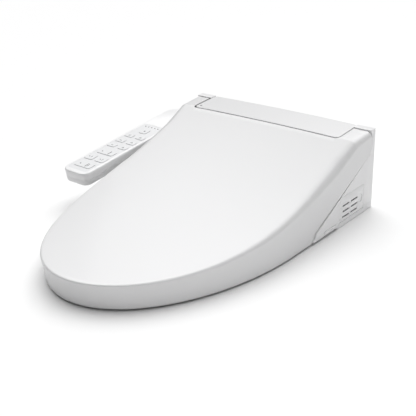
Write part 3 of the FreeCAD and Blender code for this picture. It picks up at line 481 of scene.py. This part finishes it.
def build_lid():
    columns = lid_columns()
    rows = [column_points(c) for c in columns]
    vertices = [p for column in rows for p in column]
    height = len(rows[0])
    faces = []
    for i in range(len(rows) - 1):
        for j in range(height - 1):
            a = i * height + j
            faces.append((a, a + height, a + height + 1, a + 1))
    # Fill from the shelf line to the middle, for the stations in front of the rear edge.
    middle = len(columns) // 2
    front = [i for i, c in enumerate(columns) if rows[i][-1].y <= REAR_EDGE + 1e-9]
    first, last = front[0], front[-1]
    index = {}
    for i in range(first, last + 1):
        edge = rows[i][-1]
        index[i, 0] = i * height + height - 1
        for k in range(1, FILL_ROWS + 1):
            if k == FILL_ROWS and i > middle:
                index[i, k] = index[2 * middle - i, k]
                continue
            x = edge.x * (1 - k / FILL_ROWS)
            index[i, k] = len(vertices)
            vertices.append(Vector((x, edge.y, lid_top(x, edge.y))))
    for i in range(first, last):
        for k in range(FILL_ROWS):
            loop = (index[i, k], index[i + 1, k], index[i + 1, k + 1], index[i, k + 1])
            faces.append(tuple(dict.fromkeys(loop)))
    faces = [f for f in faces if len(f) > 2]
    lid = mesh_object("lid_shell", vertices, faces, "shell_white", "lid")
    work = bmesh.new()
    work.from_mesh(lid.data)
    bmesh.ops.remove_doubles(work, verts=work.verts, dist=1e-6)
    bmesh.ops.recalc_face_normals(work, faces=work.faces)
    work.to_mesh(lid.data)
    work.free()
    modify(lid, "SOLIDIFY", thickness=LID_WALL, offset=-1, use_even_offset=False,
           use_quality_normals=True)
    modify(lid, "BEVEL", width=0.0008, segments=3, limit_method="ANGLE",
           angle_limit=math.radians(50))
    bake(lid)
    lid.data.shade_smooth()
    return lid


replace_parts(build_lid(), "lid")


# ---- Top panel -----------------------------------------------------------------------------------

def corner_mapped(x, y, low, high, radius):
    """Pull a point of a rectangle's square corner in to a round corner."""
    middle_x = min(max(x, low.x + radius), high.x - radius)
    middle_y = min(max(y, low.y + radius), high.y - radius)
    u, v = x - middle_x, y - middle_y
    if u == 0 or v == 0:
        return x, y
    shrink = max(abs(u), abs(v)) / math.hypot(u, v)
    return middle_x + u * shrink, middle_y + v * shrink


def stations(low, high, radius, inner_steps, corner_steps=5):
    """Positions along one side of a rectangle, closer together in its corners."""
    corner = [radius * i / corner_steps for i in range(corner_steps)]
    inner = [radius + (high - low - 2 * radius) * i / inner_steps for i in range(inner_steps + 1)]
    return [low + p for p in corner + inner] + [high - p for p in reversed(corner)]


PANEL_DROP = 0.0006
PANEL_CORNER = 0.008


def build_panel():
    across = stations(PANEL_LOW.x, PANEL_HIGH.x, PANEL_CORNER, 48)
    along = stations(PANEL_LOW.y, PANEL_HIGH.y, PANEL_CORNER, 12)
    vertices = []
    for y in along:
        for x in across:
            px, py = corner_mapped(x, y, PANEL_LOW, PANEL_HIGH, PANEL_CORNER)
            vertices.append(Vector((px, py, lid_top(px, py) - PANEL_DROP)))
    wide = len(across)
    faces = [(r * wide + c, r * wide + c + 1, (r + 1) * wide + c + 1, (r + 1) * wide + c)
             for r in range(len(along) - 1) for c in range(wide - 1)]
    panel = mesh_object("panel_cover", vertices, faces, "shell_white", "case")
    modify(panel, "SOLIDIFY", thickness=0.0029, offset=-1)
    modify(panel, "BEVEL", width=0.0009, segments=3, limit_method="ANGLE",
           angle_limit=math.radians(50))
    bake(panel)
    panel.data.shade_smooth()
    return panel


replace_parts(build_panel(), "top_panel")


# ---- Round pieces: the lid's hinge bosses and the panel's lens -----------------------------------

def ring_of(radius, count):
    """Points round a circle, in its own plane."""
    return [(radius * math.cos(math.tau * i / count), radius * math.sin(math.tau * i / count))
            for i in range(count)]


def lathe(name, place, profile, closed, slot_name, body):
    """A turned piece. profile holds (radius, distance along the axis); place maps to a point."""
    count = 48
    vertices = [place(u, v, along) for radius, along in profile for u, v in ring_of(radius, count)]
    faces = []
    rows = len(profile)
    for r in range(rows if closed else rows - 1):
        low, high = r * count, (r + 1) % rows * count
        for i in range(count):
            j = (i + 1) % count
            faces.append((low + i, low + j, high + j, high + i))
    if not closed:
        faces.append(tuple(reversed(range(count))))
        faces.append(tuple(range((rows - 1) * count, rows * count)))
    obj = mesh_object(name, vertices, faces, slot_name, body, smooth=False)
    work = bmesh.new()
    work.from_mesh(obj.data)
    bmesh.ops.recalc_face_normals(work, faces=work.faces)
    work.to_mesh(obj.data)
    work.free()
    obj.data.shade_smooth()
    obj.data.set_sharp_from_angle(angle=math.radians(35))
    return obj


BOSS_INNER = 0.173
BOSS_OUTER = 0.1872
BOSS_RADIUS = 0.012
BOSS_BORE = 0.00506
BOSS_SOFT = 0.001
BOSS_PROFILE = [(BOSS_BORE, BOSS_OUTER), (BOSS_BORE, BOSS_INNER + BOSS_SOFT / 2),
                (BOSS_BORE + BOSS_SOFT / 2, BOSS_INNER), (BOSS_RADIUS - BOSS_SOFT, BOSS_INNER),
                (BOSS_RADIUS - BOSS_SOFT * 0.3, BOSS_INNER + BOSS_SOFT * 0.3),
                (BOSS_RADIUS, BOSS_INNER + BOSS_SOFT), (BOSS_RADIUS, BOSS_OUTER)]
for name, side in (("lid_boss_left", -1), ("lid_boss_right", 1)):
    lathe(name, lambda u, v, w, side=side: Vector((side * w, HINGE.y + u, HINGE.z + v)),
          BOSS_PROFILE, True, "shell_white", "lid")

LENS_LOW, LENS_HIGH = (Vector(corner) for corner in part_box("status_lens"))
LENS = (LENS_LOW + LENS_HIGH) / 2
LENS_SIDE_GAP = 0.0001
LENS_PROUD = 0.0003
LENS_RADIUS = (LENS_HIGH.x - LENS_LOW.x) / 2 - LENS_SIDE_GAP
LENS_TOP = lid_top(LENS.x, LENS.y) - PANEL_DROP + LENS_PROUD
lens = lathe("panel_lens", lambda u, v, w: Vector((LENS.x + u, LENS.y + v, w)),
             [(LENS_RADIUS, LENS_LOW.z), (LENS_RADIUS, LENS_TOP - LENS_PROUD),
              (LENS_RADIUS * 0.8, LENS_TOP - LENS_PROUD / 5), (LENS_RADIUS * 0.4, LENS_TOP)],
             False, "lens_dark", "case")
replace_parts(lens, "status_lens")


# ---- Marks on the arm's keys ---------------------------------------------------------------------

KEY_NORMAL = -Vector(joint("key_stop_press")["axis"]).normalized()
KEY_ALONG = Vector((0, KEY_NORMAL.z, -KEY_NORMAL.y))
MARK_HEIGHT = 0.00008


def key_top(node):
    """The middle of a key's top. The key leans, so its thickness comes from its box by the lean."""
    low, high = (Vector(corner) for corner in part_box(node))
    depth, height = high.y - low.y, high.z - low.z
    lean, rise = abs(KEY_ALONG.z), KEY_ALONG.y
    thick = (height * rise - depth * lean) / (rise ** 2 - lean ** 2)
    return (low + high) / 2 + KEY_NORMAL * thick / 2


def bar_outline(half_wide, half_long, steps=6):
    """A bar with round ends, as points in its own plane."""
    radius = min(half_wide, half_long)
    points = []
    for quarter, (sx, sy) in enumerate(((1, 1), (-1, 1), (-1, -1), (1, -1))):
        for i in range(steps + 1):
            turn = math.radians(90) * (quarter + i / steps)
            points.append((sx * (half_wide - radius) + radius * math.cos(turn),
                           sy * (half_long - radius) + radius * math.sin(turn)))
    return points


def key_mark(name, node, shapes):
    """Bars and dots on a key. shapes holds (x, y, half width, half length) in mm on its top."""
    middle = key_top(node)
    vertices, faces = [], []
    for x, y, half_wide, half_long in ([value * MM for value in shape] for shape in shapes):
        outline = bar_outline(half_wide, half_long)
        first, count = len(vertices), len(outline)
        for height in (-MARK_HEIGHT, MARK_HEIGHT):
            vertices += [middle + Vector((x + u, 0, 0)) + KEY_ALONG * (y + v) + KEY_NORMAL * height
                         for u, v in outline]
        faces.append(tuple(range(first + count, first + 2 * count)))
        faces.append(tuple(reversed(range(first, first + count))))
        for i in range(count):
            j = (i + 1) % count
            faces.append((first + i, first + j, first + count + j, first + count + i))
    mark = mesh_object(name, vertices, faces, "dark_plastic", BODY_OF[node], smooth=False)
    work = bmesh.new()
    work.from_mesh(mark.data)
    bmesh.ops.remove_doubles(work, verts=work.verts, dist=1e-6)
    work.to_mesh(mark.data)
    work.free()


def dot(x, y, radius):
    return x, y, radius, radius


KEY_MARKS = {
    "key_stop": [dot(-11, 0, 1.5), (6, 0, 0.8, 6), (9.5, 0, 0.5, 4.5)],
    "key_rear_wash": [dot(-3, 0, 1.2), (2.5, 0, 0.5, 3)],
    "key_front_wash": [dot(-3, 0, 1.2), (2.5, 0, 0.5, 3)],
    "key_dry": [dot(-11, 0, 1.4), (8, 0, 0.8, 6)],
    "key_pressure_down": [(0, 0, 3, 0.5)],
    "key_pressure_up": [(0, 0, 3, 0.5), (0, 0, 0.5, 3)],
    "key_nozzle_back": [(0, 0, 3, 0.7)],
    "key_nozzle_forward": [(0, 0, 3, 0.7), (0, 2.4, 1.6, 0.5)],
    "key_seat_heat": [(-1.5, 0, 0.5, 2.6), (1.5, 0, 0.5, 2.6)],
    "key_water_heat": [(-1.5, 0, 0.5, 2.6), (1.5, 0, 0.5, 2.6)],
    "key_power": [dot(0, 0, 1.8)],
}
for node, shapes in KEY_MARKS.items():
    key_mark(node + "_mark", node, shapes)


# ---- Case, arm and fittings: softened copies of the CAD ------------------------------------------

for node, width in (("upper_case", 0.0012), ("lower_case", 0.0012),
                    ("filter_cassette", 0.0003), ("release_button", 0.0004), ("arm_upper", 0.0004),
                    ("arm_lower", 0.0006), ("arm_bracket", 0.0015), ("seat_lower_shell", 0.0008),
                    ("mounting_plate", 0.0006), ("drain_plug", 0.0005), ("power_gland", 0.0005),
                    ("inlet_fitting", 0.0005), ("seat_bumpers", 0.001)):
    softened(node, width)
